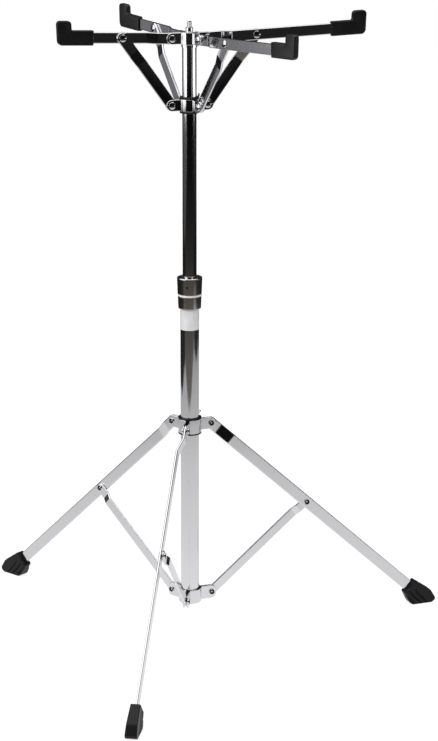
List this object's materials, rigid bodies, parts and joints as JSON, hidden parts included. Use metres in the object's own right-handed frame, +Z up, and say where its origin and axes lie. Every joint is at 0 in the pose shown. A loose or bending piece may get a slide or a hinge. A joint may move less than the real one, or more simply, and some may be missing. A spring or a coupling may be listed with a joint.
{
  "type": "percussion kit stand",
  "caption": "Folding stand with a flat-bar tripod, a telescoping chromed post and a basket of rubber-tipped arms that holds a drum or practice pad.",
  "frame": {"origin": "middle of the footprint's bounding box, on the floor; the post's axis stands at X -3.4 mm, Y 87.7 mm", "axes": "+Z up along the post; the front leg points along -Y and the other two to +30 and +150 degrees from +X"},
  "size_m": [0.661, 0.5787, 0.868],
  "materials": {
    "tube_chrome": "polished chrome on round steel tube",
    "bar_chrome": "polished chrome on flat steel bar and pressed sheet",
    "rivet_steel": "plated rivet heads",
    "screw_steel": "plated cast wing screws",
    "clutch_chrome": "plated clutch body, a little darker than the tubes",
    "black_nylon": "moulded black nylon",
    "white_nylon": "moulded natural nylon",
    "rubber": "moulded black rubber"
  },
  "bodies": {
    "base": {"lower_tube": "tube_chrome", "tube_end_cup": "black_nylon", "clutch_base": "clutch_chrome", "clutch_ring": "bar_chrome", "clutch_collet": "white_nylon", "strut_collar_plate_left": "bar_chrome", "strut_collar_plate_rear": "bar_chrome", "strut_collar_plate_right": "bar_chrome", "strut_rivet_front": "rivet_steel", "strut_rivet_left": "rivet_steel", "strut_rivet_right": "rivet_steel"},
    "leg_collar": {"leg_collar_bush": "black_nylon", "leg_collar_plate_left": "bar_chrome", "leg_collar_plate_rear": "bar_chrome", "leg_collar_plate_right": "bar_chrome", "leg_rivet_front": "rivet_steel", "leg_rivet_left": "rivet_steel", "leg_rivet_right": "rivet_steel"},
    "leg_screw": {"leg_collar_wing_screw": "screw_steel"},
    "clutch_nut": {"clutch_nut": "clutch_chrome"},
    "post_guide": {"guide_bush": "white_nylon"},
    "upper_post": {"upper_tube": "tube_chrome", "pad_stud_cap": "bar_chrome", "head_plate_front": "bar_chrome", "head_plate_left": "bar_chrome", "head_plate_rear": "bar_chrome", "head_plate_right": "bar_chrome"},
    "runner": {"runner_bush": "black_nylon", "brace_rivet_left_front": "rivet_steel", "brace_rivet_left_rear": "rivet_steel", "brace_rivet_right_front": "rivet_steel", "brace_rivet_right_rear": "rivet_steel", "runner_plate_front": "bar_chrome", "runner_plate_left": "bar_chrome", "runner_plate_rear": "bar_chrome", "runner_plate_right": "bar_chrome"},
    "runner_screw": {"runner_wing_screw": "screw_steel"},
    "leg_front": {"leg_front": "bar_chrome", "foot_boot_front": "rubber"},
    "strut_front": {"strut_front": "bar_chrome"},
    "leg_right": {"leg_right": "bar_chrome", "foot_boot_right": "rubber"},
    "strut_right": {"strut_right": "bar_chrome"},
    "leg_left": {"leg_left": "bar_chrome", "foot_boot_left": "rubber"},
    "strut_left": {"strut_left": "bar_chrome"},
    "arm_right_rear": {"arm_right_rear": "bar_chrome", "arm_boot_right_rear": "rubber"},
    "brace_right_rear": {"brace_right_rear": "bar_chrome"},
    "arm_left_rear": {"arm_left_rear": "bar_chrome", "arm_boot_left_rear": "rubber"},
    "brace_left_rear": {"brace_left_rear": "bar_chrome"},
    "arm_left_front": {"arm_left_front": "bar_chrome", "arm_boot_left_front": "rubber"},
    "brace_left_front": {"brace_left_front": "bar_chrome"},
    "arm_right_front": {"arm_right_front": "bar_chrome", "arm_boot_right_front": "rubber"},
    "brace_right_front": {"brace_right_front": "bar_chrome"}
  },
  "joints": [
    {"name": "leg_fold", "type": "slide", "parent": "base", "child": "leg_collar", "axis": [0, 0, 1], "range_m": [0, 0.12866]},
    {"name": "leg_front_hinge", "type": "hinge", "parent": "leg_collar", "child": "leg_front", "pos_m": [-0.0034, 0.05738, 0.3059], "axis": [1, 0, 0], "range_deg": [-0.2, 47.8]},
    {"name": "leg_right_hinge", "type": "hinge", "parent": "leg_collar", "child": "leg_right", "pos_m": [0.02284, 0.10283, 0.3059], "axis": [-0.5, 0.866, 0], "range_deg": [-0.2, 47.8]},
    {"name": "leg_left_hinge", "type": "hinge", "parent": "leg_collar", "child": "leg_left", "pos_m": [-0.02964, 0.10283, 0.3059], "axis": [-0.5, -0.866, 0], "range_deg": [-0.2, 47.8]},
    {"name": "strut_front_hinge", "type": "hinge", "parent": "base", "child": "strut_front", "pos_m": [-0.0034, 0.05638, 0.0568], "axis": [1, 0, 0], "range_deg": [-50.43, 0.2]},
    {"name": "strut_right_hinge", "type": "hinge", "parent": "base", "child": "strut_right", "pos_m": [0.02371, 0.10333, 0.0568], "axis": [-0.5, 0.866, 0], "range_deg": [-50.43, 0.2]},
    {"name": "strut_left_hinge", "type": "hinge", "parent": "base", "child": "strut_left", "pos_m": [-0.03051, 0.10333, 0.0568], "axis": [-0.5, -0.866, 0], "range_deg": [-50.43, 0.2]},
    {"name": "leg_collar_screw_turn", "type": "hinge", "parent": "leg_collar", "child": "leg_screw", "pos_m": [-0.0034, 0.10888, 0.3059], "axis": [0, 1, 0], "range_deg": [0, 360]},
    {"name": "clutch_turn", "type": "hinge", "parent": "base", "child": "clutch_nut", "pos_m": [-0.0034, 0.08768, 0.5], "axis": [0, 0, 1], "range_deg": [0, 180]},
    {"name": "post_height", "type": "slide", "parent": "base", "child": "post_guide", "axis": [0, 0, 1], "range_m": [-0.215, 0.06]},
    {"name": "post_swivel", "type": "hinge", "parent": "post_guide", "child": "upper_post", "pos_m": [-0.0034, 0.08768, 0.3863], "axis": [0, 0, 1], "continuous": true},
    {"name": "basket_fold", "type": "slide", "parent": "upper_post", "child": "runner", "axis": [0, 0, -1], "range_m": [0, 0.08917]},
    {"name": "arm_right_rear_hinge", "type": "hinge", "parent": "upper_post", "child": "arm_right_rear", "pos_m": [0.01842, 0.0979, 0.8373], "axis": [-0.4242, 0.9056, 0], "range_deg": [-0.2, 85.99]},
    {"name": "arm_left_rear_hinge", "type": "hinge", "parent": "upper_post", "child": "arm_left_rear", "pos_m": [-0.02029, 0.10487, 0.8373], "axis": [-0.7133, -0.7009, 0], "range_deg": [-0.2, 85.99]},
    {"name": "arm_left_front_hinge", "type": "hinge", "parent": "upper_post", "child": "arm_left_front", "pos_m": [-0.0246, 0.07621, 0.8373], "axis": [0.4756, -0.8796, 0], "range_deg": [-0.2, 85.99]},
    {"name": "arm_right_front_hinge", "type": "hinge", "parent": "upper_post", "child": "arm_right_front", "pos_m": [0.01373, 0.07072, 0.8373], "axis": [0.7034, 0.7108, 0], "range_deg": [-0.2, 85.99]},
    {"name": "brace_right_rear_hinge", "type": "hinge", "parent": "runner", "child": "brace_right_rear", "pos_m": [0.01892, 0.09813, 0.7491], "axis": [-0.4242, 0.9056, 0], "range_deg": [-32.42, 0.2]},
    {"name": "brace_left_rear_hinge", "type": "hinge", "parent": "runner", "child": "brace_left_rear", "pos_m": [-0.02068, 0.10526, 0.7491], "axis": [-0.7133, -0.7009, 0], "range_deg": [-32.42, 0.2]},
    {"name": "brace_left_front_hinge", "type": "hinge", "parent": "runner", "child": "brace_left_front", "pos_m": [-0.02508, 0.07595, 0.7491], "axis": [0.4756, -0.8796, 0], "range_deg": [-32.42, 0.2]},
    {"name": "brace_right_front_hinge", "type": "hinge", "parent": "runner", "child": "brace_right_front", "pos_m": [0.01412, 0.07034, 0.7491], "axis": [0.7034, 0.7108, 0], "range_deg": [-32.42, 0.2]},
    {"name": "runner_screw_turn", "type": "hinge", "parent": "runner", "child": "runner_screw", "pos_m": [-0.00019, 0.10551, 0.7491], "axis": [0.1771, 0.9842, 0], "range_deg": [0, 360]}
  ],
  "couplings": [
    {"joint": "leg_front_hinge", "follows": "leg_fold", "rad_per_m": 6.4571},
    {"joint": "leg_right_hinge", "follows": "leg_fold", "rad_per_m": 6.4571},
    {"joint": "leg_left_hinge", "follows": "leg_fold", "rad_per_m": 6.4571},
    {"joint": "strut_front_hinge", "follows": "leg_fold", "rad_per_m": -6.8139},
    {"joint": "strut_right_hinge", "follows": "leg_fold", "rad_per_m": -6.8139},
    {"joint": "strut_left_hinge", "follows": "leg_fold", "rad_per_m": -6.8139},
    {"joint": "arm_right_rear_hinge", "follows": "basket_fold", "rad_per_m": 16.792},
    {"joint": "arm_left_rear_hinge", "follows": "basket_fold", "rad_per_m": 16.792},
    {"joint": "arm_left_front_hinge", "follows": "basket_fold", "rad_per_m": 16.792},
    {"joint": "arm_right_front_hinge", "follows": "basket_fold", "rad_per_m": 16.792},
    {"joint": "brace_right_rear_hinge", "follows": "basket_fold", "rad_per_m": -6.3073},
    {"joint": "brace_left_rear_hinge", "follows": "basket_fold", "rad_per_m": -6.3073},
    {"joint": "brace_left_front_hinge", "follows": "basket_fold", "rad_per_m": -6.3073},
    {"joint": "brace_right_front_hinge", "follows": "basket_fold", "rad_per_m": -6.3073}
  ]
}
